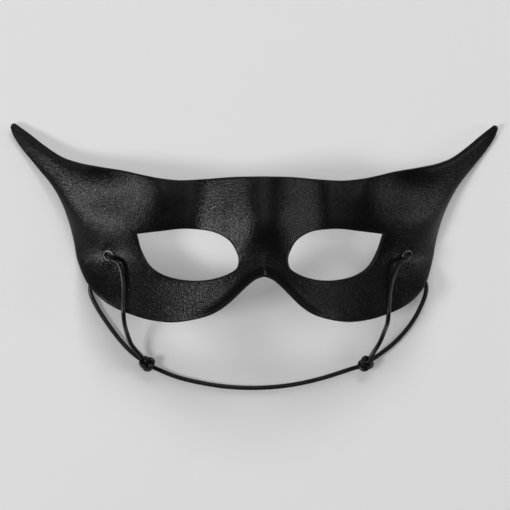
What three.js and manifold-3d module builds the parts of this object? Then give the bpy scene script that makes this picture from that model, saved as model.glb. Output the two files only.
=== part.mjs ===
// A black leather half mask with swept horns, two eyelets and a thin round cord knotted through them.
// Millimetres. The mask lies face up: +X is the viewer's right, +Y the top edge, +Z the front.

import * as THREE from "three";
import { ParametricGeometry } from "three/addons/geometries/ParametricGeometry.js";
import { mergeGeometries, mergeVertices } from "three/addons/utils/BufferGeometryUtils.js";
import Module from "manifold-3d";

const wasm = await Module();
wasm.setup();

const { lerp, smoothstep } = THREE.MathUtils;

// Leather: heights are above the table, and ranges are [from, to] along X or Y
const thickness = 1.7;
const browHeight = 20.7;
const browRise = 2.6;
const browRiseRange = [0, 30];
const sideEdgeHeight = 1.3;
const sideEdgeArch = 1.6;
const archStartRange = [-16, 8];
const archEndRange = [16, 48];
const cornerLift = 10;
const cornerLiftRange = [16, 42];

// Wrap: the leather falls to the side edge, in an even slope at the brow and a rounder one at the temple
const wrapWidth = 51.5;
const templeWrap = 2.4;
const browWrap = 1.25;
const browWrapRange = [-10, 19];

// Side roll: the last few millimetres of the temple turn down steeply
const rollHeight = 3.55;
const rollWidth = 2.75;
const rollStartRange = [-19, 3];
const rollEndRange = [2, 42];

// The brow is a little fuller over the outer half of each eye
const browFullness = { height: 2.4, x: 51, y: 14, width: 13, depth: 12 };

// Nose: a hill between the eyes, wider across the cheeks, with a low ridge running to the notch
const bridgeHeight = 15.1;
const bridgeFall = 1.8;
const bridgeFallRange = [0, 22];
const bridgeHalfWidth = 36;
const cheekHalfWidth = 58.5;
const cheekRange = [0, 30];
const noseRidgeHeight = 0.95;
const noseRidgeHalfWidth = 3;
const noseRidgeRange = [12, 22];

// Notch: its edge flares forward and fades out along the cheek
const notchTopY = -25.6;
const notchDepth = 22;
const notchHalfWidth = 18.5;
const notchRoundness = 1.9;
const flareHeight = 2.8;
const flareWidth = 5.6;
const flareFadeRange = [26, 42];

// Horn: a lip rises along its upper edge, as wide as a share of the horn at that place
const lipShare = 0.16;
const narrowestLip = 0.6;
const lipSlope = 0.9;
const lipHeight = 3.5;
const lipStartRange = [54, 92];
const lipEndRange = [108, 120];

// Mesh of one half: ribs from the nose to the tip, rows from the top edge to the lower edge
const noseRibs = 3;
const eyeRibs = 14;
const hornRibs = 18;
const ribs = noseRibs + eyeRibs + hornRibs;
const browRows = 6;
const cheekRows = 6;
const ribEnds = { noseUpper: 0.08, noseLower: 0.05, eyeUpper: 0.51, eyeLower: 0.43 };
const outerLead = 0.75;
const spineLead = 0.85;
const edgeLead = 1.4;

// Eyelets
const eyeletX = 73;
const eyeletY = -15.8;
const boreRadius = 1.5;
const barrelRadius = 1.85;
const flangeRadius = 2.9;
const leatherHoleRadius = 2.2;
const fitGap = 0.3;
const flangeGap = 0.45;
const flangeHeight = 0.75;

// Cord
const cordRadius = 1.1;
const cordSides = 8;
const onTable = 1.15;
const knotRadius = 3.3;
const knotLength = 6.6;
const knotWraps = 3;

const curve = (points) =>
  new THREE.CatmullRomCurve3(points.map(([x, y]) => new THREE.Vector3(x, y, 0)));

// Lower edge beside the nose, from the top of the notch down to the cheek
const notchY = (x) =>
  notchTopY - notchDepth * (1 - Math.exp(-((x / notchHalfWidth) ** notchRoundness)));

// Outlines of the right half, seen from the front
const upperEdge = curve([
  [0, 22.2], [14.9, 22], [28, 21.1], [40, 20.6], [52.7, 22.1], [68.2, 25.1], [79, 26.8],
  [87.1, 28], [95.8, 30.9], [104.8, 36.8], [112.1, 42.7], [118.6, 47.9],
]);
const lowerEdge = curve([
  ...[0, 4, 8, 12, 16, 20, 24, 28.5].map((x) => [x, notchY(x)]),
  [35, -47.2], [43.4, -48.2], [52, -47.4], [59.6, -45.5], [73.3, -39.6], [82.4, -30.8],
  [87.6, -19], [90, -7.3], [93.5, 4.5], [99.2, 16.2], [108.3, 28], [115.4, 36.8],
  [119.1, 42.7], [120.4, 46.4],
]);
const upperLid = curve([
  [12.2, -19], [12.5, -16.1], [15.4, -10.2], [18.4, -7.3], [24.8, -4.3], [37, -3.1],
  [48.9, -4.3], [60.2, -5.6],
]);
const lowerLid = curve([
  [12.2, -19], [13.2, -22], [17.7, -24.9], [25, -27.2], [33.5, -27.9], [42, -26.8], [47.6, -24.9],
  [52.2, -22], [54.8, -19], [57.9, -13.2], [60.2, -5.6],
]);
const bridgeLine = curve([[0, -17], [12.2, -19]]);
const hornSpine = curve([[60.2, -5.6], [75, 3], [90, 15], [100, 26.5], [110.5, 37], [119.9, 47.7]]);

// Straight lines that bend smoothly to a new slope, close to the temple's side edge and the horn's top
const bentLine = (value, { start, slope, bendAt, addedSlope, softness }) =>
  start + slope * value + addedSlope * softness * Math.log(1 + Math.exp((value - bendAt) / softness));
const sideEdge = { start: 87.6, slope: 0, bendAt: 5.6, addedSlope: 0.86, softness: 10.5 };
const hornTop = { start: 16.9, slope: 0.12, bendAt: 94.5, addedSlope: 0.7, softness: 5 };

// From the brow down to the side edge, which is arched so that its ends carry the mask
function wrapHeight(y, inboard) {
  const brow = browHeight + browRise * smoothstep(y, ...browRiseRange);
  const arch = smoothstep(y, ...archStartRange) * (1 - smoothstep(y, ...archEndRange));
  const edge = sideEdgeHeight + sideEdgeArch * arch + cornerLift * smoothstep(-y, ...cornerLiftRange);
  const power = lerp(templeWrap, browWrap, smoothstep(y, ...browWrapRange));
  const wrap = Math.max(0, 1 - inboard / wrapWidth) ** power;
  return lerp(brow, edge, wrap);
}

function sideRoll(y, inboard) {
  const reach = smoothstep(y, ...rollStartRange) * (1 - smoothstep(y, ...rollEndRange));
  return rollHeight * reach * (1 - Math.exp(-Math.max(0, inboard) / rollWidth));
}

function outerBrow(out, y) {
  const across = (out - browFullness.x) / browFullness.width;
  const up = (y - browFullness.y) / browFullness.depth;
  return browFullness.height * Math.exp(-across * across - up * up);
}

function noseHeight(out, y) {
  const halfWidth = lerp(bridgeHalfWidth, cheekHalfWidth, smoothstep(-y, ...cheekRange));
  const hill = bridgeHeight - bridgeFall * smoothstep(y, ...bridgeFallRange);
  const ridge = noseRidgeHeight * smoothstep(-y, ...noseRidgeRange);
  return (
    hill * Math.cos((Math.PI / 2) * Math.min(1, out / halfWidth)) ** 2 +
    ridge * Math.exp(-((out / noseRidgeHalfWidth) ** 2))
  );
}

function notchFlare(out, y) {
  const run = 0.5;
  const slope = (notchY(out + run) - notchY(Math.max(0, out - run))) / (2 * run);
  const distance = Math.max(0, (y - notchY(out)) / Math.hypot(1, slope));
  const flare = Math.max(0, 1 - distance / flareWidth) ** 2;
  return flareHeight * flare * (1 - smoothstep(out, ...flareFadeRange));
}

function hornLip(out, y, inboard) {
  const belowTop = Math.max(0, bentLine(out, hornTop) - y);
  const width = Math.max(narrowestLip, lipShare * (belowTop + Math.max(0, inboard)));
  const reach = smoothstep(out, ...lipStartRange) * (1 - smoothstep(out, ...lipEndRange));
  return Math.min(lipHeight, lipSlope * width) * reach * Math.exp(-belowTop / width);
}

// Height of the front surface above the table
function height(x, y) {
  const out = Math.abs(x);
  const inboard = bentLine(y, sideEdge) - out;
  const shell = wrapHeight(y, inboard) + sideRoll(y, inboard) + hornLip(out, y, inboard);
  return shell + outerBrow(out, y) + noseHeight(out, y) + notchFlare(out, y);
}

function normal(x, y) {
  const step = 0.3;
  return new THREE.Vector3(
    height(x - step, y) - height(x + step, y),
    height(x, y - step) - height(x, y + step),
    2 * step,
  ).normalize();
}

const surface = (x, y, lift = 0) =>
  new THREE.Vector3(x, y, height(x, y)).addScaledVector(normal(x, y), lift);

// Ends of rib k on the upper edge, the eye line and the lower edge
function rib(k) {
  const { noseUpper, noseLower, eyeUpper, eyeLower } = ribEnds;
  if (k <= noseRibs) {
    const f = k / noseRibs;
    const middle = bridgeLine.getPointAt(f);
    return [upperEdge.getPointAt(f * noseUpper), middle, middle, lowerEdge.getPointAt(f * noseLower)];
  }
  if (k <= noseRibs + eyeRibs) {
    const f = (k - noseRibs) / eyeRibs;
    return [
      upperEdge.getPointAt(lerp(noseUpper, eyeUpper, f)),
      upperLid.getPointAt(f),
      lowerLid.getPointAt(f),
      lowerEdge.getPointAt(lerp(noseLower, eyeLower, f)),
    ];
  }
  const f = Math.min(1, (k - noseRibs - eyeRibs) / hornRibs);
  const middle = hornSpine.getPointAt(f ** spineLead);
  return [
    upperEdge.getPointAt(lerp(eyeUpper, 1, f)),
    middle,
    middle,
    lowerEdge.getPointAt(lerp(eyeLower, 1, f ** outerLead)),
  ];
}

// Point of a band at rib k: row 0 is its lower side and row 1 its upper side
function plan(k, row, band) {
  const [top, overEye, underEye, bottom] = rib(k);
  return band === "brow" ? overEye.clone().lerp(top, row) : bottom.clone().lerp(underEye, row ** edgeLead);
}

const onSheet = (point, depth) => surface(point.x, point.y, -thickness * depth);

// Front face of a band, or its back face turned over
function face(band, rows, isBack) {
  return new ParametricGeometry(
    (u, v, target) => target.copy(onSheet(plan(u * ribs, isBack ? 1 - v : v, band), isBack ? 1 : 0)),
    ribs,
    rows,
  );
}

// Cut edge along one side of a band, between two of its ribs
function rim(band, row, fromRib, toRib) {
  const isUpperSide = row === 1;
  return new ParametricGeometry(
    (u, v, target) =>
      target.copy(onSheet(plan(lerp(fromRib, toRib, u), row, band), isUpperSide ? v : 1 - v)),
    toRib - fromRib,
    1,
  );
}

// Cut edge across the end of a band at the horn's tip
function tipRim(band, rows) {
  return new ParametricGeometry(
    (u, v, target) => target.copy(onSheet(plan(ribs, u, band), 1 - v)),
    rows,
    1,
  );
}

function mirrored(geometry) {
  const copy = geometry.clone().scale(-1, 1, 1);
  const order = copy.index.array;
  for (let i = 0; i < order.length; i += 3) {
    [order[i], order[i + 1]] = [order[i + 1], order[i]];
  }
  return copy;
}

function toSolid(geometry) {
  const bare = geometry.index ? geometry.toNonIndexed() : geometry.clone();
  bare.deleteAttribute("normal");
  bare.deleteAttribute("uv");
  const merged = mergeVertices(bare, 1e-3);
  return new wasm.Manifold(
    new wasm.Mesh({
      numProp: 3,
      vertProperties: merged.attributes.position.array,
      triVerts: new Uint32Array(merged.index.array),
    }),
  );
}

function toGeometry(solid) {
  const mesh = solid.getMesh();
  const geometry = new THREE.BufferGeometry();
  geometry.setAttribute("position", new THREE.BufferAttribute(mesh.vertProperties, mesh.numProp));
  geometry.setIndex(new THREE.BufferAttribute(mesh.triVerts, 1));
  geometry.computeVertexNormals();
  return geometry;
}

const eyeStart = noseRibs;
const eyeEnd = noseRibs + eyeRibs;
const half = mergeGeometries([
  face("brow", browRows, false),
  face("brow", browRows, true),
  face("cheek", cheekRows, false),
  face("cheek", cheekRows, true),
  rim("brow", 1, 0, ribs),
  rim("cheek", 0, 0, ribs),
  rim("brow", 0, eyeStart, eyeEnd),
  rim("cheek", 1, eyeStart, eyeEnd),
  tipRim("brow", browRows),
  tipRim("cheek", cheekRows),
]);
const sheet = mergeGeometries([half, mirrored(half)]);

// Turns a shape's own Y axis along the leather's normal at an eyelet
function atEyelet(object, side) {
  const axis = normal(side * eyeletX, eyeletY);
  object.quaternion.setFromUnitVectors(new THREE.Vector3(0, 1, 0), axis);
  object.position.copy(surface(side * eyeletX, eyeletY));
  return object;
}

let leather = toSolid(sheet);
for (const side of [-1, 1]) {
  const punch = atEyelet(
    new THREE.Mesh(new THREE.CylinderGeometry(leatherHoleRadius, leatherHoleRadius, 8, 24)),
    side,
  );
  punch.updateMatrix();
  leather = leather.subtract(toSolid(punch.geometry.applyMatrix4(punch.matrix)));
}

const leatherMaterial = new THREE.MeshStandardMaterial({ color: 0x1b1b1c, roughness: 0.5, metalness: 0 });
const eyeletMaterial = new THREE.MeshStandardMaterial({ color: 0x101011, roughness: 0.3, metalness: 0.6 });
const cordMaterial = new THREE.MeshStandardMaterial({ color: 0x0e0e0f, roughness: 0.45, metalness: 0 });

const mask = new THREE.Mesh(toGeometry(leather), leatherMaterial);
mask.name = "mask";

// Rolled ring: bore, domed front flange, barrel through the leather and rolled back flange
const backFace = -thickness - fitGap;
const eyeletProfile = [
  [boreRadius, backFace - 0.35],
  [boreRadius + 0.4, backFace - 0.6],
  [flangeRadius - 0.4, backFace - 0.45],
  [flangeRadius - 0.2, backFace],
  [barrelRadius, backFace],
  [barrelRadius, flangeGap],
  [flangeRadius, flangeGap],
  [flangeRadius - 0.15, flangeGap + 0.45],
  [flangeRadius - 0.6, flangeGap + flangeHeight],
  [boreRadius + 0.25, flangeGap + flangeHeight],
  [boreRadius, flangeGap + 0.45],
  [boreRadius, backFace - 0.35],
].map(([r, h]) => new THREE.Vector2(r, h));

function eyelet(side, name) {
  const ring = atEyelet(new THREE.Mesh(new THREE.LatheGeometry(eyeletProfile, 24), eyeletMaterial), side);
  ring.name = name;
  return ring;
}

// A route whose tube has a ring at each of its points
class Route extends THREE.CatmullRomCurve3 {
  getPointAt(t, target) {
    return this.getPoint(t, target);
  }
  getTangentAt(t, target) {
    return this.getTangent(t, target);
  }
}

function tube(points, stepsPerPoint = 1) {
  const section = new THREE.Shape().absarc(0, 0, cordRadius, 0, 2 * Math.PI);
  return toSolid(
    new THREE.ExtrudeGeometry(section, {
      curveSegments: cordSides / 2,
      steps: (points.length - 1) * stepsPerPoint,
      extrudePath: new Route(points),
    }),
  );
}

// The bend through an eyelet: each entry is the distance along the eyelet's axis and along the leather
function throughEyelet(side, bend, towards) {
  const centre = surface(side * eyeletX, eyeletY);
  const axis = normal(side * eyeletX, eyeletY);
  const along = new THREE.Vector3(...towards, 0).projectOnPlane(axis).normalize();
  return bend.map(([rise, run]) => centre.clone().addScaledVector(axis, rise).addScaledVector(along, run));
}
const frontBend = [[3.7, 2.9], [2, 0.75], [-0.3, 0]];
const backBend = [[-1.4, 0], [-3.7, 0.75], [-5.4, 2.9]];
const frontTowards = { left: [0.9, -0.35], right: [-0.85, -0.45] };
const backTowards = { left: [-0.7, -0.7], right: [0.7, -0.7] };

const knots = { left: [-53.6, -68.5, 3.4], right: [54.1, -69, 3.4] };
const innerStrands = {
  left: [
    [-57.3, -64.1, 4.3], [-61.4, -59.5, 7.4], [-64, -53.7, 11.8], [-65.8, -48.4, 17],
    [-66.5, -43.2, 19.7], [-66.6, -38, 19.5], [-66.5, -32.8, 19.1], [-66.7, -27.6, 18.9],
    [-67.6, -22.9, 18.8], [-69.2, -19.2, 18.6],
  ],
  right: [
    [57.3, -64.2, 4.4], [60.3, -58.6, 7.8], [62, -53, 12], [62.7, -48.6, 17.9],
    [62.9, -43.8, 20.3], [63.3, -38.4, 20.1], [63.9, -32.8, 19.7], [65.1, -27.2, 19.3],
    [67.2, -22, 18.9], [69.3, -18.8, 18.5],
  ],
};
const outerStrands = {
  left: [
    [-75.4, -21.8, 3.5], [-78.5, -25.5, 1.7], [-80.7, -29.2, onTable], [-81.2, -33.4, onTable],
    [-78.2, -40.5, onTable], [-74.9, -45.8, onTable], [-71, -51.4, onTable], [-66.2, -57.6, onTable],
    [-60.6, -63.4, 1.8],
  ],
  right: [
    [75.8, -21, 3.5], [79.6, -23.8, 1.7], [83, -27.2, onTable], [84.6, -31.2, onTable],
    [84, -35.4, onTable], [82.3, -39.8, onTable], [79.4, -45.5, onTable], [75.4, -51.4, onTable],
    [69, -58.4, onTable], [61.2, -64.4, 1.8],
  ],
};
const strap = [
  knots.left, [-46.4, -72.2, 1.6], [-38.4, -75.3, onTable], [-26.5, -78.2, onTable],
  [-14.8, -80, onTable], [-2.9, -80.7, onTable], [8.9, -80.3, onTable], [20.7, -78.8, onTable],
  [32.6, -76.1, onTable], [40.5, -73.7, onTable], [47.4, -71.4, 1.6], knots.right,
];

const toPoints = (route) => route.map((place) => new THREE.Vector3(...place));

// A loop runs from its knot over the leather, through the eyelet and back along the table to the knot
function loop(side, name) {
  const knot = new THREE.Vector3(...knots[name]);
  const front = throughEyelet(side, frontBend, frontTowards[name]);
  const back = throughEyelet(side, backBend, backTowards[name]);
  return tube([
    knot, ...toPoints(innerStrands[name]), ...front, ...back, ...toPoints(outerStrands[name]), knot,
  ]);
}

// The knot is the cord wrapped round itself: a short barrel with one ridge for each turn
function knot([x, y, z], towards) {
  const steps = 4 * knotWraps;
  const profile = [new THREE.Vector2(0, -knotLength / 2)];
  for (let i = 0; i <= steps; i++) {
    const ridge = Math.abs(Math.sin((Math.PI * knotWraps * i) / steps));
    const round = i === 0 || i === steps ? 0.7 : 1;
    profile.push(
      new THREE.Vector2(round * lerp(knotRadius - 0.7, knotRadius, ridge), (i / steps - 0.5) * knotLength),
    );
  }
  profile.push(new THREE.Vector2(0, knotLength / 2));
  const axis = new THREE.Vector3(...towards, 0).normalize();
  const turn = new THREE.Quaternion().setFromUnitVectors(new THREE.Vector3(0, 1, 0), axis);
  return toSolid(new THREE.LatheGeometry(profile, 16).applyQuaternion(turn).translate(x, y, z));
}

const cordSolid = [
  loop(-1, "left"),
  loop(1, "right"),
  tube(toPoints(strap), 2),
  knot(knots.left, [0.87, -0.5]),
  knot(knots.right, [0.87, 0.5]),
].reduce((all, piece) => all.add(piece));

const cord = new THREE.Mesh(toGeometry(cordSolid), cordMaterial);
cord.name = "cord";

const elfMask = new THREE.Group();
elfMask.add(mask, eyelet(-1, "eyelet_left"), eyelet(1, "eyelet_right"), cord);

export default elfMask;
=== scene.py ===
import bisect
import math
import bpy
from mathutils import Matrix, Vector
from mathutils.kdtree import KDTree


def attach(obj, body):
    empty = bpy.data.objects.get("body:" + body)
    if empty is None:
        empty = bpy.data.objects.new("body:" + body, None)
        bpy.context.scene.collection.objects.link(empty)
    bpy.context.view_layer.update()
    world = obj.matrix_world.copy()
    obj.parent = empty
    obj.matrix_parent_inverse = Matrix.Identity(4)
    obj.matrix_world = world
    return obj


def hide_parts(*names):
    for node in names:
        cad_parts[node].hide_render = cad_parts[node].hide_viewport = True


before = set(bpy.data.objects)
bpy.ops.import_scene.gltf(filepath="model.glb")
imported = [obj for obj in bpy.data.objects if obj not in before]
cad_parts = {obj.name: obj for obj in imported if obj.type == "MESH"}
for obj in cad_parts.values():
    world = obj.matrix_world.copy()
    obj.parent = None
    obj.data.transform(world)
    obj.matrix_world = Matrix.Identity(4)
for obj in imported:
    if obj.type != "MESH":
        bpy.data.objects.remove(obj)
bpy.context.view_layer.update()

# A black leather half mask with horn points, two eyelets and a knotted cord, lying face up on a table.
# Metres: +X is the viewer's right, +Y the top edge, +Z the front.

scene = bpy.context.scene

# studio
studio = {
    "turn": 6.5,  # degrees that the camera stands to the left of straight over the mask
    "distance": 1.8,
    "frameWidth": 0.2486,  # how wide a strip of the table the picture shows
    "sensor": 36,
    "clipEnd": 20,
    "aimAt": (-0.0014, -0.0156, 0.01),
    "floorSize": 4.0,
    "floorTone": 0.8,
    "floorRoughness": 0.9,
    "floorGlow": 0.15,
    "ambient": 0.03,
    # name: degrees towards +X, degrees towards +Y, distance, width, height, watts, mirrored in the gloss
    "lights": {
        "leftSoftbox": (-51, -14, 2.6, 0.6, 0.6, 24.5, True),
        "rightSoftbox": (69, -3, 2.6, 0.46, 0.77, 7.5, True),
        "frontSoftbox": (5, 8, 2.6, 0.9, 0.9, 5.5, True),
        "upperSoftbox": (24, 50, 2.6, 0.7, 0.4, 5, True),
        "topSoftbox": (0, 60, 6, 4.4, 1.8, 218, False),
    },
}


def deselect():
    bpy.ops.object.select_all(action="DESELECT")


def addCamera():
    turn = math.radians(studio["turn"])
    away = Vector((-math.sin(turn), 0, math.cos(turn)))
    place = Vector(studio["aimAt"]) + away * studio["distance"]
    bpy.ops.object.camera_add(location=place, rotation=(0, -turn, 0))
    camera = bpy.context.object
    camera.name = "camera"
    camera.data.sensor_width = studio["sensor"]
    camera.data.lens = studio["sensor"] * studio["distance"] / studio["frameWidth"]
    camera.data.clip_end = studio["clipEnd"]
    scene.camera = camera


def addLight(name, right, up, distance, width, height, watts, mirrored):
    target = Vector(studio["aimAt"])
    away = Vector((math.tan(math.radians(right)), math.tan(math.radians(up)), 1)).normalized()
    bpy.ops.object.light_add(type="AREA", location=target + away * distance)
    light = bpy.context.object
    light.name = name
    light.rotation_euler = away.to_track_quat("Z", "Y").to_euler()
    light.data.shape = "RECTANGLE"
    light.data.size = width
    light.data.size_y = height
    light.data.energy = watts
    light.visible_glossy = mirrored


# a socket gets a plain value or a link from another node
def feed(material, socket, value):
    if isinstance(value, bpy.types.NodeSocket):
        material.node_tree.links.new(value, socket)
    else:
        socket.default_value = value


# sets a node's sockets by name, and its other properties
def setNode(material, node, **settings):
    for key, value in settings.items():
        socket = key.replace("_", " ")
        if socket in node.inputs:
            feed(material, node.inputs[socket], value)
        else:
            setattr(node, key, value)


def addNode(material, kind, **settings):
    node = material.node_tree.nodes.new("ShaderNode" + kind)
    setNode(material, node, **settings)
    return node


def newMaterial(name, **values):
    material = bpy.data.materials.new(name)
    material.use_nodes = True
    shader = material.node_tree.nodes["Principled BSDF"]
    setNode(material, shader, **values)
    return material, shader


def addFloor():
    bpy.ops.mesh.primitive_plane_add(size=studio["floorSize"], location=(0, 0, 0))
    floor = bpy.context.object
    floor.name = "studioFloor"
    tone = studio["floorTone"]
    board, shader = newMaterial(
        "paleBoard", Roughness=studio["floorRoughness"], Base_Color=(tone, tone, tone, 1),
        Emission_Color=(1, 1, 1, 1), Emission_Strength=studio["floorGlow"],
    )
    floor.data.materials.append(board)


def addAir():
    air = bpy.data.worlds.new("studioAir")
    air.use_nodes = True
    background = air.node_tree.nodes["Background"]
    background.inputs["Color"].default_value = (1, 1, 1, 1)
    background.inputs["Strength"].default_value = studio["ambient"]
    scene.world = air


addCamera()
addFloor()
for name, values in studio["lights"].items():
    addLight(name, *values)
addAir()
scene.view_settings.view_transform = "Standard"
print("studio ready")


# shared helpers

# 0 before the span, 1 after it and a soft rise between
def smooth(value, span):
    share = min(1, max(0, (value - span[0]) / (span[1] - span[0])))
    return share * share * (3 - 2 * share)


def mix(a, b, share):
    return a + (b - a) * share


# a soft line through a few points, as a dense list of points
def lineThrough(points, steps=24):
    points = [Vector(point) for point in points]
    ends = [points[0] * 2 - points[1], *points, points[-1] * 2 - points[-2]]
    line = []
    for a, b, c, d in zip(ends, ends[1:], ends[2:], ends[3:]):
        ab, bc, cd = (b - a).length ** 0.5, (c - b).length ** 0.5, (d - c).length ** 0.5
        leave = ((b - a) / ab - (c - a) / (ab + bc) + (c - b) / bc) * bc
        arrive = ((c - b) / bc - (d - b) / (bc + cd) + (d - c) / cd) * bc
        for i in range(steps):
            t = i / steps
            line.append(
                b * (2 * t**3 - 3 * t**2 + 1) + leave * (t**3 - 2 * t**2 + t)
                + c * (3 * t**2 - 2 * t**3) + arrive * (t**3 - t**2)
            )
    line.append(points[-1])
    return line


# a function that gives the point at a share of the line's length
def alongLine(line):
    lengths = [0]
    for a, b in zip(line, line[1:]):
        lengths.append(lengths[-1] + (b - a).length)

    def at(share):
        want = min(1, max(0, share)) * lengths[-1]
        i = min(max(1, bisect.bisect_right(lengths, want)), len(line) - 1)
        return line[i - 1].lerp(line[i], (want - lengths[i - 1]) / (lengths[i] - lengths[i - 1]))

    at.length = lengths[-1]
    return at


# the same line with its points at even distances
def evenly(line, spacing):
    at = alongLine(line)
    count = max(2, round(at.length / spacing))
    return [at(i / count) for i in range(count + 1)]


def pick(piece):
    deselect()
    piece.select_set(True)
    bpy.context.view_layer.objects.active = piece


# merges the seams of the active piece and turns its faces outwards
def closeMesh(seam):
    bpy.ops.object.mode_set(mode="EDIT")
    bpy.ops.mesh.select_all(action="SELECT")
    bpy.ops.mesh.remove_doubles(threshold=seam)
    bpy.ops.mesh.dissolve_degenerate(threshold=1e-7)
    bpy.ops.mesh.normals_make_consistent(inside=False)
    bpy.ops.object.mode_set(mode="OBJECT")


# smooth faces with creases only where two meet sharply
def smoothFaces(piece, crease=50):
    pick(piece)
    bpy.ops.object.shade_smooth_by_angle(angle=math.radians(crease))


# form of the leather; heights are over the table, and a range is where a form fades in or out
leather = {
    "thickness": 0.0017,
    "sideEdge": {"start": 0.0876, "slope": 0, "bendAt": 0.0056, "addedSlope": 0.86, "softness": 0.0105},
    "hornTop": {"start": 0.0169, "slope": 0.12, "bendAt": 0.0945, "addedSlope": 0.7, "softness": 0.005},
    "browHeight": 0.0207,
    "browRise": 0.0026,
    "browRiseRange": (0, 0.03),
    "sideEdgeHeight": 0.0013,
    "sideEdgeArch": 0.0016,
    "archStartRange": (-0.016, 0.008),
    "archEndRange": (0.016, 0.048),
    "cornerLift": 0.01,
    "cornerLiftRange": (0.016, 0.042),
    "wrapWidth": 0.0515,
    "templeWrap": 2.4,
    "browWrap": 1.25,
    "browWrapRange": (-0.01, 0.019),
    "rollHeight": 0.00355,
    "rollWidth": 0.00275,
    "rollStartRange": (-0.019, 0.003),
    "rollEndRange": (0.002, 0.042),
    "fullness": {"height": 0.0024, "x": 0.051, "y": 0.014, "width": 0.013, "depth": 0.012},
    "bridgeHeight": 0.0151,
    "bridgeFall": 0.0018,
    "bridgeFallRange": (0, 0.022),
    "bridgeHalfWidth": 0.036,
    "cheekHalfWidth": 0.0585,
    "cheekRange": (0, 0.03),
    "ridgeHeight": 0.00095,
    "ridgeHalfWidth": 0.003,
    "ridgeRange": (0.012, 0.022),
    "notchTop": -0.0256,
    "notchDepth": 0.022,
    "notchHalfWidth": 0.0185,
    "notchRoundness": 1.9,
    "flareHeight": 0.0018,
    "flareWidth": 0.0056,
    "flareFadeRange": (0.016, 0.04),
    "lipShare": 0.16,
    "narrowestLip": 0.0006,
    "lipSlope": 0.9,
    "lipHeight": 0.0035,
    "lipStartRange": (0.054, 0.092),
    "lipEndRange": (0.108, 0.12),
    "eyeletX": 0.073,
    "eyeletY": -0.0158,
    "clampDepth": 0.00035,
    "clampRadius": (0.0032, 0.0048),
    "holeRadius": 0.00205,
    "holeSides": 48,
    "punchLength": 0.008,
    "frontRound": 0.00075,
    "backRound": 0.00035,
    "roundingAngles": (15, 30, 45, 60, 75, 90),
    "cutSpacing": 0.00012,
    "seam": 2e-6,
    "columns": (16, 84, 104),  # beside the nose, over the eye, along the horn
    "rows": 28,
}


def notchEdge(out):
    return leather["notchTop"] - leather["notchDepth"] * (
        1 - math.exp(-((out / leather["notchHalfWidth"]) ** leather["notchRoundness"]))
    )


# a straight line that bends softly to a new slope
def bentLine(value, start, slope, bendAt, addedSlope, softness):
    return start + slope * value + addedSlope * softness * math.log(1 + math.exp((value - bendAt) / softness))


def sideEdge(y):
    return bentLine(y, **leather["sideEdge"])


def hornTop(x):
    return bentLine(x, **leather["hornTop"])


# from the brow down to the sides of the face, steeper at the temples than at the brow
def wrapHeight(y, inboard):
    brow = leather["browHeight"] + leather["browRise"] * smooth(y, leather["browRiseRange"])
    arch = smooth(y, leather["archStartRange"]) * (1 - smooth(y, leather["archEndRange"]))
    lift = leather["cornerLift"] * smooth(-y, leather["cornerLiftRange"])
    edge = leather["sideEdgeHeight"] + leather["sideEdgeArch"] * arch + lift
    power = mix(leather["templeWrap"], leather["browWrap"], smooth(y, leather["browWrapRange"]))
    return mix(brow, edge, max(0, 1 - inboard / leather["wrapWidth"]) ** power)


# the last few millimetres of the temple turn down steeply
def sideRoll(y, inboard):
    reach = smooth(y, leather["rollStartRange"]) * (1 - smooth(y, leather["rollEndRange"]))
    return leather["rollHeight"] * reach * (1 - math.exp(-max(0, inboard) / leather["rollWidth"]))


# a soft swelling over the outer brow
def outerBrow(out, y):
    full = leather["fullness"]
    across, up = (out - full["x"]) / full["width"], (y - full["y"]) / full["depth"]
    return full["height"] * math.exp(-across * across - up * up)


# the bridge of the nose and the faint ridge down it
def noseHeight(out, y):
    halfWidth = mix(leather["bridgeHalfWidth"], leather["cheekHalfWidth"], smooth(-y, leather["cheekRange"]))
    hill = leather["bridgeHeight"] - leather["bridgeFall"] * smooth(y, leather["bridgeFallRange"])
    ridge = leather["ridgeHeight"] * smooth(-y, leather["ridgeRange"])
    return (
        hill * math.cos(math.pi / 2 * min(1, out / halfWidth)) ** 2
        + ridge * math.exp(-((out / leather["ridgeHalfWidth"]) ** 2))
    )


def notchDistance(out, y):
    run = 0.0005
    slope = (notchEdge(out + run) - notchEdge(max(0, out - run))) / (2 * run)
    return max(0, (y - notchEdge(out)) / math.hypot(1, slope))


# the rim of the notch turns up
def notchFlare(out, y):
    flare = max(0, 1 - notchDistance(out, y) / leather["flareWidth"]) ** 2
    return leather["flareHeight"] * flare * (1 - smooth(out, leather["flareFadeRange"]))


# the horn's upper edge rises in a lip
def hornLip(out, y, inboard):
    belowTop = max(0, hornTop(out) - y)
    width = max(leather["narrowestLip"], leather["lipShare"] * (belowTop + max(0, inboard)))
    reach = smooth(out, leather["lipStartRange"]) * (1 - smooth(out, leather["lipEndRange"]))
    return min(leather["lipHeight"], leather["lipSlope"] * width) * reach * math.exp(-belowTop / width)


# height of the front of the leather above the table
def height(x, y):
    out = abs(x)
    inboard = sideEdge(y) - out
    shell = wrapHeight(y, inboard) + sideRoll(y, inboard) + hornLip(out, y, inboard)
    return shell + outerBrow(out, y) + noseHeight(out, y) + notchFlare(out, y)


def normal(x, y):
    step = 0.0003
    return Vector(
        (height(x - step, y) - height(x + step, y), height(x, y - step) - height(x, y + step), 2 * step)
    ).normalized()


# a point of the leather's front, lifted along its normal
def surface(x, y, lift=0):
    return Vector((x, y, height(x, y))) + normal(x, y) * lift


# where an eyelet stands: its own z runs out of the leather
def eyeletPlace(side):
    x, y = side * leather["eyeletX"], leather["eyeletY"]
    turn = normal(x, y).to_track_quat("Z", "Y").to_matrix().to_4x4()
    return Matrix.Translation(surface(x, y)) @ turn


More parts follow.
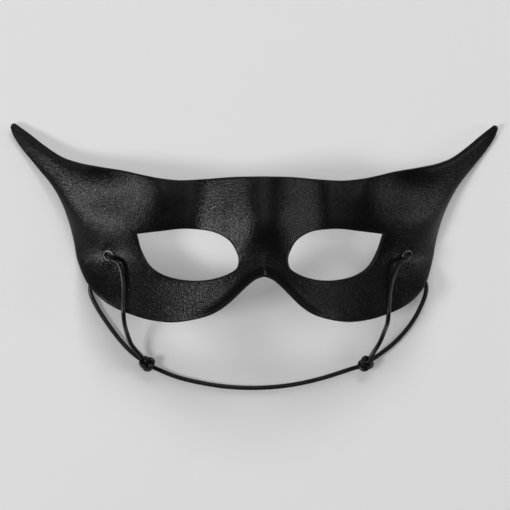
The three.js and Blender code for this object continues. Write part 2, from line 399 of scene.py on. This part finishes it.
# cord
cord = {
    "radius": 0.0011,
    "sides": 5,  # corners of a quarter turn round the cord
    "routeStep": 0.0004,
    "relaxing": 14,
    "spacing": 0.0009,
    "tableGap": 0.00005,
    "seam": 1e-6,
    "knots": {"left": (-0.0536, -0.0685, 0.0027), "right": (0.0541, -0.069, 0.0027)},
    # knot to eyelet, up the front of the leather
    "inner": {
        "left": [
            (-0.0573, -0.0641, 0.0043), (-0.0614, -0.0595, 0.0074), (-0.064, -0.0537, 0.0118),
            (-0.0658, -0.0484, 0.017),
            (-0.0665, -0.0432, 0.0197), (-0.0666, -0.038, 0.0195), (-0.0665, -0.0328, 0.0191),
            (-0.0667, -0.0276, 0.0189),
            (-0.0676, -0.0229, 0.0188), (-0.0692, -0.0192, 0.0186),
        ],
        "right": [
            (0.0573, -0.0642, 0.0044), (0.0603, -0.0586, 0.0078), (0.062, -0.053, 0.012),
            (0.0627, -0.0486, 0.0179),
            (0.0629, -0.0438, 0.0203), (0.0633, -0.0384, 0.0201), (0.0639, -0.0328, 0.0197),
            (0.0651, -0.0272, 0.0193),
            (0.0672, -0.022, 0.0189), (0.0693, -0.0188, 0.0185),
        ],
    },
    # through the eyelet: distance along its axis and along the leather
    "frontBend": [(0.0037, 0.0029), (0.002, 0.00075), (-0.0003, 0)],
    "backBend": [(-0.0014, 0), (-0.0037, 0.00075), (-0.0054, 0.0029)],
    "frontTowards": {"left": (0.9, -0.35, 0), "right": (-0.85, -0.45, 0)},
    "backTowards": {"left": (-0.7, -0.7, 0), "right": (0.7, -0.7, 0)},
    # under the edge of the leather and back along the table
    "outer": {
        "left": [
            (-0.0754, -0.0218, 0.0035), (-0.0785, -0.0255, 0.0017), (-0.0807, -0.0292, 0.00115),
            (-0.0812, -0.0334, 0.00115),
            (-0.0782, -0.0405, 0.00115), (-0.0749, -0.0458, 0.00115), (-0.071, -0.0514, 0.00115),
            (-0.0662, -0.0576, 0.00115),
            (-0.0606, -0.0634, 0.0018),
        ],
        "right": [
            (0.0758, -0.021, 0.0035), (0.0796, -0.0238, 0.0017), (0.083, -0.0272, 0.00115),
            (0.0846, -0.0312, 0.00115),
            (0.084, -0.0354, 0.00115), (0.0823, -0.0398, 0.00115), (0.0794, -0.0455, 0.00115),
            (0.0754, -0.0514, 0.00115),
            (0.069, -0.0584, 0.00115), (0.0612, -0.0644, 0.0018),
        ],
    },
    "strap": [
        (-0.0464, -0.0722, 0.0016), (-0.0384, -0.0753, 0.00115), (-0.0265, -0.0782, 0.00115),
        (-0.0148, -0.08, 0.00115),
        (-0.0029, -0.0807, 0.00115), (0.0089, -0.0803, 0.00115), (0.0207, -0.0788, 0.00115),
        (0.0326, -0.0761, 0.00115),
        (0.0405, -0.0737, 0.00115), (0.0474, -0.0714, 0.0016),
    ],
    "knotTowards": {"left": (0.87, -0.5, 0), "right": (0.87, 0.5, 0)},
    "strandShift": 0.0007,  # how far the strands lie under and over the middle of a knot
    # a knot goes round twice while it weaves three times
    "knotRounds": 2,
    "knotWeaves": 3,
    "knotSteps": 96,
    "knotWidth": 0.002,
    "knotLobes": 0.00105,
    "knotWeave": 0.0015,
    "knotTilt": 14,
    "knotTurn": {"left": 60, "right": -50},
}


# the bend of the cord at one mouth of an eyelet
def throughEyelet(side, bend, towards):
    place = eyeletPlace(side)
    axis = place.to_3x3() @ Vector((0, 0, 1))
    along = Vector(towards)
    along = (along - axis * along.dot(axis)).normalized()
    return [place.translation + axis * rise + along * run for rise, run in bend]


# from the knot up the front, through the eyelet and back to the knot
def loopRoute(side, name):
    return [
        *cord["inner"][name],
        *throughEyelet(side, cord["frontBend"], cord["frontTowards"][name]),
        *throughEyelet(side, cord["backBend"], cord["backTowards"][name]),
        *cord["outer"][name],
    ]


# takes the small corners out of a route
def relaxed(line, passes):
    for _ in range(passes):
        line = [line[0], *((a + b * 2 + c) / 4 for a, b, c in zip(line, line[1:], line[2:])), line[-1]]
    return line


# a round cord along a line of points, made from a curve and its bevel
def roundCord(name, line, closed=False):
    deselect()
    bpy.ops.curve.primitive_nurbs_path_add()
    tube = bpy.context.object
    tube.name = name
    shape = tube.data
    shape.splines.clear()
    spline = shape.splines.new("POLY")
    spline.points.add(len(line) - 1)
    for point, place in zip(spline.points, line):
        point.co = (*place, 1)
    spline.use_cyclic_u = closed
    shape.bevel_depth = cord["radius"]
    shape.bevel_resolution = cord["sides"]
    shape.use_fill_caps = not closed
    bpy.ops.object.convert(target="MESH")
    tube = bpy.context.object
    closeMesh(cord["seam"])
    bpy.ops.object.shade_smooth()
    around = tube.data.uv_layers[0]
    around.name = "cordMap"
    length = alongLine(line).length
    for corner in around.data:
        corner.uv.x *= length  # metres along the cord
    return tube


leftKnot, rightKnot = Vector(cord["knots"]["left"]), Vector(cord["knots"]["right"])
shift = Vector((0, 0, cord["strandShift"]))
route = [
    leftKnot - shift, *reversed(loopRoute(-1, "left")), leftKnot + shift,
    *cord["strap"],
    rightKnot + shift, *loopRoute(1, "right"), rightKnot - shift,
]
cordLine = relaxed(evenly(lineThrough(route), cord["routeStep"]), cord["relaxing"])
cordLine = evenly(cordLine, cord["spacing"])
cordLength = alongLine(cordLine).length
cordPiece = roundCord("cordLine", cordLine)
print("cord", round(cordLength * 1000, 1), "mm")


# a knot: the cord goes over and under itself in a tight round lump, and rests on the table
def knotPiece(name, side):
    centre = Vector(cord["knots"][side])
    axis = Vector(cord["knotTowards"][side]).normalized()
    turn = Matrix.Rotation(math.atan2(axis.y, axis.x), 3, "Z")
    turn @= Matrix.Rotation(math.radians(cord["knotTilt"]), 3, "X")
    turn @= Matrix.Rotation(math.radians(cord["knotTurn"][side]), 3, "Z")
    line = []
    for i in range(cord["knotSteps"]):
        share = 2 * math.pi * i / cord["knotSteps"]
        angle, wave = share * cord["knotRounds"], share * cord["knotWeaves"]
        reach = cord["knotWidth"] + cord["knotLobes"] * math.cos(wave)
        rise = cord["knotWeave"] * math.sin(wave)
        line.append(turn @ Vector((reach * math.cos(angle), reach * math.sin(angle), rise)))
    lowest = min(point.z for point in line)
    rest = Vector((centre.x, centre.y, cord["radius"] + cord["tableGap"] - lowest))
    return roundCord(name, [rest + point for point in line], closed=True)


knotLeft = knotPiece("knotLeft", "left")
knotRight = knotPiece("knotRight", "right")
for piece in (cordPiece, knotLeft, knotRight):
    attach(piece, "root")
    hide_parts("cord")
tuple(cordLine[0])


# leather mask: its right half in plan, as points picked from edges measured in the photo
outline = {
    "upperEdge": [
        (0, 0.0222, 0), (0.0149, 0.022, 0), (0.028, 0.0211, 0), (0.04, 0.0206, 0), (0.0527, 0.0221, 0),
        (0.0682, 0.0251, 0),
        (0.079, 0.0268, 0), (0.0871, 0.028, 0), (0.0958, 0.0309, 0), (0.1048, 0.0368, 0),
        (0.1121, 0.0427, 0), (0.1186, 0.0479, 0),
    ],
    "notchSteps": (0, 0.004, 0.008, 0.012, 0.016, 0.02, 0.024, 0.0285),
    "lowerEdge": [
        (0.035, -0.0472, 0), (0.0434, -0.0482, 0), (0.052, -0.0474, 0), (0.0596, -0.0455, 0),
        (0.0733, -0.0396, 0),
        (0.0824, -0.0308, 0), (0.0876, -0.019, 0), (0.09, -0.0073, 0), (0.0935, 0.0045, 0),
        (0.0992, 0.0162, 0),
        (0.1083, 0.028, 0), (0.1154, 0.0368, 0), (0.1191, 0.0427, 0), (0.1204, 0.0464, 0),
    ],
    "upperLid": [
        (0.0122, -0.019, 0), (0.0125, -0.0161, 0), (0.0154, -0.0102, 0), (0.0184, -0.0073, 0),
        (0.0248, -0.0043, 0),
        (0.037, -0.0031, 0), (0.0489, -0.0043, 0), (0.0602, -0.0056, 0),
    ],
    "lowerLid": [
        (0.0122, -0.019, 0), (0.0132, -0.022, 0), (0.0177, -0.0249, 0), (0.025, -0.0272, 0),
        (0.0335, -0.0279, 0),
        (0.042, -0.0268, 0), (0.0476, -0.0249, 0), (0.0522, -0.022, 0), (0.0548, -0.019, 0),
        (0.0579, -0.0132, 0), (0.0602, -0.0056, 0),
    ],
    "bridge": [(0, -0.017, 0), (0.0122, -0.019, 0)],
    "hornSpine": [
        (0.0602, -0.0056, 0), (0.075, 0.003, 0), (0.09, 0.015, 0), (0.1, 0.0265, 0), (0.1105, 0.037, 0),
        (0.1199, 0.0477, 0),
    ],
    # how far along the edges the nose ribs and the eye ribs end
    "ribEnds": {"noseUpper": 0.08, "noseLower": 0.05, "eyeUpper": 0.51, "eyeLower": 0.43},
    # how the horn's ribs crowd at its outer edge, along its spine and at its tip
    "outerLead": 0.75,
    "spineLead": 0.85,
    "tipCrowding": 1.5,
}
lines = {
    "upperEdge": lineThrough(outline["upperEdge"]),
    "lowerEdge": lineThrough([(x, notchEdge(x), 0) for x in outline["notchSteps"]] + outline["lowerEdge"]),
    "upperLid": lineThrough(outline["upperLid"]),
    "lowerLid": lineThrough(outline["lowerLid"]),
    "bridge": lineThrough(outline["bridge"]),
    "hornSpine": lineThrough(outline["hornSpine"]),
}
at = {name: alongLine(line) for name, line in lines.items()}
tipLine = [lines["upperEdge"][-1], lines["hornSpine"][-1], lines["lowerEdge"][-1]]

# a rib runs from the top edge over the eye line to the lower edge
ends = outline["ribEnds"]


def noseRib(f):
    middle = at["bridge"](f)
    return at["upperEdge"](f * ends["noseUpper"]), middle, middle, at["lowerEdge"](f * ends["noseLower"])


def eyeRib(f):
    return (
        at["upperEdge"](mix(ends["noseUpper"], ends["eyeUpper"], f)), at["upperLid"](f),
        at["lowerLid"](f), at["lowerEdge"](mix(ends["noseLower"], ends["eyeLower"], f)),
    )


def hornRib(f):
    f = 1 - (1 - f) ** outline["tipCrowding"]
    middle = at["hornSpine"](f ** outline["spineLead"])
    return (
        at["upperEdge"](mix(ends["eyeUpper"], 1, f)), middle, middle,
        at["lowerEdge"](mix(ends["eyeLower"], 1, f ** outline["outerLead"])),
    )


noseColumns, eyeColumns, hornColumns = leather["columns"]
ribs = [noseRib(i / noseColumns) for i in range(noseColumns)]
ribs += [eyeRib(i / eyeColumns) for i in range(eyeColumns)]
ribs += [hornRib(i / hornColumns) for i in range(hornColumns + 1)]
eyeSpan = (noseColumns, noseColumns + eyeColumns)

# the cut edges as one cloud of close points, for the distance of any place to them
cutPoints = []
for line in (lines["upperEdge"], lines["lowerEdge"], lines["upperLid"], lines["lowerLid"], tipLine):
    cutPoints += evenly(line, leather["cutSpacing"])
cutTree = KDTree(len(cutPoints))
for i, point in enumerate(cutPoints):
    cutTree.insert(point, i)
cutTree.balance()


def cutDistance(x, y):
    return cutTree.find(Vector((abs(x), y, 0)))[2]


# how far a rounded edge falls away, at a distance from the cut
def roundOff(distance, radius):
    return radius - math.sqrt(radius**2 - max(0, radius - distance) ** 2)


# the leather is clamped flat and a little thinner round an eyelet
eyeletSeat = eyeletPlace(1)
eyeletAxis = (eyeletSeat.to_3x3() @ Vector((0, 0, 1))).normalized()


def clamped(point, place, level):
    distance = math.hypot(place.x - leather["eyeletX"], place.y - leather["eyeletY"])
    lift = (point - eyeletSeat.translation).dot(eyeletAxis) - level
    return point - eyeletAxis * lift * (1 - smooth(distance, leather["clampRadius"]))


def onFront(place, distance):
    point = surface(place.x, place.y, -roundOff(distance, leather["frontRound"]))
    return clamped(point, place, -leather["clampDepth"])


def onBack(place, distance):
    point = surface(place.x, place.y, roundOff(distance, leather["backRound"]) - leather["thickness"])
    return clamped(point, place, -leather["thickness"])


# rows crowd at both ends of a rib, so that the cut edge is rounded
def rowShares(length, rows):
    crowd = [leather["frontRound"] * (1 - math.cos(math.radians(a))) for a in leather["roundingAngles"]]
    low = [min(d / length, (i + 1) / rows) for i, d in enumerate(crowd)]
    inner = rows - 1 - 2 * len(low)
    middle = [mix(low[-1], 1 - low[-1], (i + 1) / (inner + 1)) for i in range(inner)]
    return [0, *low, *middle, *(1 - share for share in reversed(low)), 1]


# a grid mesh whose corners go where a function of column and row puts them
def addGrid(name, columns, rows, where):
    deselect()
    bpy.ops.mesh.primitive_grid_add(x_subdivisions=columns, y_subdivisions=rows, size=2)
    grid = bpy.context.object
    grid.name = name
    for corner in grid.data.vertices:
        corner.co = where(round((corner.co.x + 1) / 2 * columns), round((corner.co.y + 1) / 2 * rows))
    return grid


# one side of the leather between two of the four marks of each rib
def band(name, upper, lower, upperIsCut, lowerIsCut, onSide):
    shares = [rowShares((rib[upper] - rib[lower]).length, leather["rows"]) for rib in ribs]

    def where(column, row):
        rib = ribs[column]
        place = rib[lower].lerp(rib[upper], shares[column][row])
        onCut = column == len(ribs) - 1 or (row == 0 and lowerIsCut(column))
        onCut = onCut or (row == leather["rows"] and upperIsCut(column))
        return onSide(place, 0 if onCut else cutDistance(place.x, place.y))

    return addGrid(name, len(ribs) - 1, leather["rows"], where)


# the cut through the thickness, two faces deep, along a row of places
def wall(name, places):
    return addGrid(
        name, len(places) - 1, 2,
        lambda column, row: onFront(places[column], 0).lerp(onBack(places[column], 0), row / 2),
    )


def cutWall(name, end, start, stop):
    return wall(name, [ribs[i][end] for i in range(start, stop + 1)])


def tipWall(name, upper, lower):
    rib = ribs[-1]
    shares = rowShares((rib[upper] - rib[lower]).length, leather["rows"])
    return wall(name, [rib[lower].lerp(rib[upper], share) for share in shares])


def always(column):
    return True


def atEye(column):
    return eyeSpan[0] <= column <= eyeSpan[1]


def makeMask():
    last = len(ribs) - 1
    parts = [
        band("browFront", 0, 1, always, atEye, onFront),
        band("cheekFront", 2, 3, atEye, always, onFront),
        band("browBack", 0, 1, always, atEye, onBack),
        band("cheekBack", 2, 3, atEye, always, onBack),
        cutWall("topEdge", 0, 0, last),
        cutWall("lowerEdge", 3, 0, last),
        cutWall("upperLid", 1, *eyeSpan),
        cutWall("lowerLid", 2, *eyeSpan),
        tipWall("tipUpper", 0, 1),
        tipWall("tipLower", 2, 3),
    ]
    deselect()
    for part in parts:
        part.select_set(True)
    bpy.context.view_layer.objects.active = parts[0]
    bpy.ops.object.join()
    piece = bpy.context.object
    piece.name = "leatherMask"
    mirror = piece.modifiers.new("otherHalf", "MIRROR")
    mirror.use_mirror_merge = False
    bpy.ops.object.modifier_apply(modifier=mirror.name)
    closeMesh(leather["seam"])
    return piece


def punchHole(piece, side):
    deselect()
    bpy.ops.mesh.primitive_cylinder_add(
        vertices=leather["holeSides"], radius=leather["holeRadius"], depth=leather["punchLength"],
    )
    punch = bpy.context.object
    punch.matrix_world = eyeletPlace(side)
    cut = piece.modifiers.new("eyeletHole", "BOOLEAN")
    cut.operation = "DIFFERENCE"
    cut.solver = "EXACT"
    cut.object = punch
    bpy.context.view_layer.objects.active = piece
    bpy.ops.object.modifier_apply(modifier=cut.name)
    bpy.data.objects.remove(punch)


maskPiece = makeMask()
for side in (-1, 1):
    punchHole(maskPiece, side)
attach(maskPiece, "root")
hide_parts("mask")
print("leather mask", len(maskPiece.data.polygons), "faces")


# eyelets
eyelet = {
    # radius and height over the leather, from the back of the bore over the front flange and round
    "profile": [
        (0.0015, -0.002), (0.0015, 0.0002), (0.00158, 0.00055), (0.00182, 0.00084), (0.0022, 0.00098),
        (0.0026, 0.00093), (0.00292, 0.0007),
        (0.0031, 0.00038), (0.00314, 0.00005), (0.00305, -0.00024), (0.00285, -0.00034),
        (0.00198, -0.00036), (0.00194, -0.00166),
        (0.00262, -0.00172), (0.00278, -0.00195), (0.0026, -0.00228), (0.00215, -0.00242),
        (0.0017, -0.0023),
    ],
    "vertices": 56,
    "seam": 1e-6,
}


def makeEyelet(name):
    deselect()
    radius, rise = eyelet["profile"][0]
    bpy.ops.mesh.primitive_circle_add(vertices=eyelet["vertices"], radius=radius, location=(0, 0, rise))
    ring = bpy.context.object
    ring.name = name
    bpy.ops.object.transform_apply(location=True, rotation=True, scale=True)
    bpy.ops.object.mode_set(mode="EDIT")
    bpy.ops.mesh.select_all(action="SELECT")
    for nextRadius, nextRise in [*eyelet["profile"][1:], eyelet["profile"][0]]:
        bpy.ops.mesh.extrude_edges_move(TRANSFORM_OT_translate={"value": (0, 0, nextRise - rise)})
        scale = nextRadius / radius
        bpy.ops.transform.resize(value=(scale, scale, 1), center_override=(0, 0, nextRise))
        radius, rise = nextRadius, nextRise
    bpy.ops.object.mode_set(mode="OBJECT")
    closeMesh(eyelet["seam"])
    return ring


def placeEyelet(ring, side):
    pick(ring)
    ring.matrix_world = eyeletPlace(side)
    bpy.ops.object.transform_apply(location=True, rotation=True, scale=True)
    smoothFaces(ring)
    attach(ring, "root")


leftEyelet = makeEyelet("ringLeft")
rightEyelet = leftEyelet.copy()
rightEyelet.data = leftEyelet.data.copy()
rightEyelet.name = "ringRight"
scene.collection.objects.link(rightEyelet)
placeEyelet(leftEyelet, -1)
placeEyelet(rightEyelet, 1)
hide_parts("eyelet_left")
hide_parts("eyelet_right")
print("eyelets ready")


# finishes

# how near each corner is to a cut edge and to the smooth band along the notch
nearness = {
    "cutRange": (0.00015, 0.0011),
    "bandRange": (0.0025, 0.005),
    "edgeWidth": 0.00045,
    "backFrom": 0.9,  # share of the thickness where the hidden side begins
}


def writeNearness(piece):
    edge = piece.data.attributes.new("edgeNearness", "FLOAT", "POINT")
    smoothBand = piece.data.attributes.new("bandNearness", "FLOAT", "POINT")
    for corner in piece.data.vertices:
        x, y = abs(corner.co.x), corner.co.y
        edge.data[corner.index].value = 1 - smooth(cutDistance(x, y), nearness["cutRange"])
        near = 1 - smooth(notchDistance(x, y), nearness["bandRange"])
        smoothBand.data[corner.index].value = near * (1 - smooth(x, leather["flareFadeRange"]))


# faces of the hidden side get the second finish, and the burnished cut edge the third
def markFinishes(piece):
    backDepth = leather["thickness"] * nearness["backFrom"] - leather["backRound"]
    for face in piece.data.polygons:
        x, y, z = face.center
        depth = (height(x, y) - z) * normal(x, y).z
        if depth > backDepth and face.normal.z < 0:
            face.material_index = 1
        elif cutDistance(x, y) < nearness["edgeWidth"]:
            face.material_index = 2


def objectPlace(material):
    return addNode(material, "TexCoord").outputs["Object"]


def addNoise(material, place, pattern):
    return addNode(material, "TexNoise", Vector=place, **pattern).outputs["Fac"]


def addMath(material, operation, *values):
    node = addNode(material, "Math", operation=operation)
    for socket, value in zip(node.inputs, values):
        feed(material, socket, value)
    return node.outputs[0]


# the tone between two tones at a share
def addTone(material, share, dark, light):
    return addNode(material, "Mix", data_type="RGBA", Factor=share, A=dark, B=light).outputs["Result"]


# a pattern turned into a range of values
def addRange(material, pattern, low, high, **ends):
    return addNode(material, "MapRange", Value=pattern, To_Min=low, To_Max=high, **ends).outputs["Result"]


def addBump(material, relief, **settings):
    return addNode(material, "Bump", Height=relief, **settings).outputs["Normal"]


# pebbled grain with creases and pores, calmer along the notch and on the cut edge
leatherFinish = {
    "specular": 0.3,
    "dark": (0.0026, 0.0026, 0.0027, 1),
    "worn": (0.005, 0.0049, 0.0049, 1),
    # lighter tone along the cut edge: rubbed wear with a painted highlight along the rim
    "rimWearAndHighlight": (0.03, 0.029, 0.028, 1),
    "patches": {"Scale": 28, "Detail": 4},
    "wobble": {"Scale": 700, "Detail": 2},
    "wobbleReach": (0.0003, 0.0003, 0.0003),
    "pebbles": {"Scale": 1 / 0.00072, "Smoothness": 0.25},  # pebbles to a metre
    "pebbleDrop": -0.9,
    "pebbleTop": 0.8,
    "creases": {"Scale": 0.55 / 0.00072},
    "creaseWidth": 0.12,
    "creaseShare": 0.3,
    "pores": {"Scale": 1 / 0.0003, "Detail": 3, "Roughness": 0.6},
    "poreShare": 0.35,
    "poreSpan": (0.3, 0.7),
    "roughness": (0.22, 0.32),
    "swell": {"Scale": 70, "Detail": 3},
    "swellBump": {"Strength": 0.3, "Distance": 0.0008},
    "grainDepth": 0.0001,
    "calmest": 0.35,
}


def leatherMaterial():
    look = leatherFinish
    material, shader = newMaterial("blackGrainLeather", Specular_IOR_Level=look["specular"])
    place = objectPlace(material)
    patches = addNoise(material, place, look["patches"])
    pores = addNoise(material, place, look["pores"])
    edge = addNode(material, "Attribute", attribute_name="edgeNearness").outputs["Fac"]
    smoothBand = addNode(material, "Attribute", attribute_name="bandNearness").outputs["Fac"]

    # the grain's own place is a little off the true one, so that no row of pebbles is straight
    wobble = addNode(material, "TexNoise", Vector=place, **look["wobble"]).outputs["Color"]
    wobbly = addNode(material, "VectorMath", operation="MULTIPLY_ADD")
    for socket, value in zip(wobbly.inputs, (wobble, look["wobbleReach"], place)):
        feed(material, socket, value)
    grainPlace = wobbly.outputs[0]
    pebbles = addNode(material, "TexVoronoi", feature="SMOOTH_F1", Vector=grainPlace, **look["pebbles"])
    creases = addNode(
        material, "TexVoronoi", feature="DISTANCE_TO_EDGE", Vector=grainPlace, **look["creases"],
    )
    domes = addMath(
        material, "MULTIPLY_ADD", pebbles.outputs["Distance"], look["pebbleDrop"], look["pebbleTop"],
    )
    banks = addRange(material, creases.outputs["Distance"], 0, 1, From_Max=look["creaseWidth"])
    grain = addMath(material, "MULTIPLY_ADD", banks, look["creaseShare"], domes)
    grain = addMath(material, "MULTIPLY_ADD", pores, look["poreShare"], grain)

    calm = addRange(material, addMath(material, "MAXIMUM", edge, smoothBand), 1, look["calmest"])
    swell = addBump(material, addNoise(material, place, look["swell"]), **look["swellBump"])
    tone = addTone(material, patches, look["dark"], look["worn"])
    low, high = look["poreSpan"]
    setNode(
        material, shader,
        # near the cut edge the tone lightens: rubbed wear with a painted highlight along the rim, varied in
        # patches
        Base_Color=addTone(material, addMath(material, "MULTIPLY", edge, patches), tone, look["rimWearAndHighlight"]),
        Roughness=addRange(material, pores, *look["roughness"], From_Min=low, From_Max=high),
        Normal=addBump(material, grain, Strength=calm, Distance=look["grainDepth"], Normal=swell),
    )
    return material


# the cut edge is burnished: smoother, darker and faintly layered
edgeFinish = {
    "specular": 0.15,
    "dark": (0.003, 0.003, 0.003, 1),
    "patches": {"Scale": 120, "Detail": 3},
    "layers": {"Scale": 1500, "Detail": 3},
    "layerBump": {"Strength": 0.4, "Distance": 0.00008},
    "roughness": (0.45, 0.62),
}


def cutEdgeMaterial():
    look = edgeFinish
    material, shader = newMaterial("burnishedCutEdge", Specular_IOR_Level=look["specular"])
    place = objectPlace(material)
    layers = addNoise(material, place, look["layers"])
    patches = addNoise(material, place, look["patches"])
    setNode(
        material, shader,
        Base_Color=addTone(material, patches, look["dark"], leatherFinish["worn"]),
        Roughness=addRange(material, layers, *look["roughness"]),
        Normal=addBump(material, layers, **look["layerBump"]),
    )
    return material


# the hidden flesh side has a short nap over loose fibres
fleshFinish = {
    "roughness": 0.93,
    "sheen": 0.25,
    "sheenRoughness": 0.6,
    "dark": (0.016, 0.0135, 0.0115, 1),
    "light": (0.034, 0.029, 0.025, 1),
    "patches": {"Scale": 45, "Detail": 4},
    "fibres": {"Scale": 900, "Detail": 3, "Distortion": 1.5},
    "fibreShare": 0.5,
    "fibreBump": {"Strength": 0.5, "Distance": 0.0003},
    "nap": {"Scale": 3200, "Detail": 4, "Roughness": 0.7},
    "napBump": {"Strength": 0.7, "Distance": 0.00012},
}


def fleshMaterial():
    look = fleshFinish
    material, shader = newMaterial(
        "leatherFleshSide", Roughness=look["roughness"],
        Sheen_Weight=look["sheen"], Sheen_Roughness=look["sheenRoughness"],
    )
    place = objectPlace(material)
    nap = addNoise(material, place, look["nap"])
    fibres = addNoise(material, place, look["fibres"])
    patches = addNoise(material, place, look["patches"])
    rest = addMath(material, "MULTIPLY", patches, 1 - look["fibreShare"])
    share = addMath(material, "MULTIPLY_ADD", fibres, look["fibreShare"], rest)
    soft = addBump(material, fibres, **look["fibreBump"])
    setNode(
        material, shader,
        Base_Color=addTone(material, share, look["dark"], look["light"]),
        Normal=addBump(material, nap, Normal=soft, **look["napBump"]),
    )
    return material


# a fine braid: two sets of strands that lean against each other, from the cord's own map, with painted shade
# in the grooves between them
cordFinish = {
    "specular": 0.5,
    "dark": (0.003, 0.003, 0.0033, 1),
    "light": (0.009, 0.009, 0.0095, 1),
    "strandsAround": 8,
    "strandsAlong": 1000,  # to a metre of cord
    "patches": {"Scale": 160, "Detail": 3},
    "fuzz": {"Scale": 2600, "Detail": 3},
    "roughness": (0.2, 0.34),
    "braidBump": {"Strength": 0.35, "Distance": 0.00008},
    "fuzzBump": {"Strength": 0.25, "Distance": 0.00006},
}


def cordMaterial():
    look = cordFinish
    material, shader = newMaterial("blackBraidedCord", Specular_IOR_Level=look["specular"])
    onCord = addNode(material, "UVMap", uv_map="cordMap").outputs["UV"]
    parts = addNode(material, "SeparateXYZ", Vector=onCord).outputs
    along = addMath(material, "MULTIPLY", parts["X"], look["strandsAlong"])
    waves = []
    for lean in (1, -1):
        turns = addMath(material, "MULTIPLY_ADD", parts["Y"], look["strandsAround"] * lean, along)
        waves.append(addMath(material, "SINE", addMath(material, "MULTIPLY", turns, 2 * math.pi)))
    strands = addRange(material, addMath(material, "MAXIMUM", *waves), 0, 1, From_Min=-1)
    place = objectPlace(material)
    fuzz = addNoise(material, place, look["fuzz"])
    patches = addNoise(material, place, look["patches"])
    # the tone follows the braid: painted shade in the grooves between strands and lighter on their crests,
    # varied at random in patches
    share = addMath(material, "MULTIPLY", strands, patches)
    braid = addBump(material, strands, **look["braidBump"])
    setNode(
        material, shader,
        Base_Color=addTone(material, share, look["dark"], look["light"]),
        Roughness=addRange(material, fuzz, *look["roughness"]),
        Normal=addBump(material, fuzz, Normal=braid, **look["fuzzBump"]),
    )
    return material


# black enamel, a little worn and specked
eyeletFinish = {
    "coat": 0.6,
    "coatRoughness": 0.12,
    "dark": (0.008, 0.008, 0.009, 1),
    "worn": (0.03, 0.03, 0.031, 1),
    "patches": {"Scale": 420, "Detail": 3},
    "patchBump": {"Strength": 0.12, "Distance": 0.00005},
    "specks": {"Scale": 1800, "Detail": 4},
    "roughness": (0.14, 0.34),
}


def eyeletMaterial():
    look = eyeletFinish
    material, shader = newMaterial(
        "blackEnamelMetal", Coat_Weight=look["coat"], Coat_Roughness=look["coatRoughness"],
    )
    place = objectPlace(material)
    specks = addNoise(material, place, look["specks"])
    patches = addNoise(material, place, look["patches"])
    setNode(
        material, shader,
        Base_Color=addTone(material, patches, look["dark"], look["worn"]),
        Roughness=addRange(material, specks, *look["roughness"]),
        Normal=addBump(material, patches, **look["patchBump"]),
    )
    return material


def cover(piece, *materials):
    piece.data.materials.clear()
    for material in materials:
        piece.data.materials.append(material)


writeNearness(maskPiece)
cover(maskPiece, leatherMaterial(), fleshMaterial(), cutEdgeMaterial())
markFinishes(maskPiece)
smoothFaces(maskPiece)
braidedCord = cordMaterial()
for piece in (cordPiece, knotLeft, knotRight):
    cover(piece, braidedCord)
enamel = eyeletMaterial()
for piece in (leftEyelet, rightEyelet):
    cover(piece, enamel)
print("finishes ready")
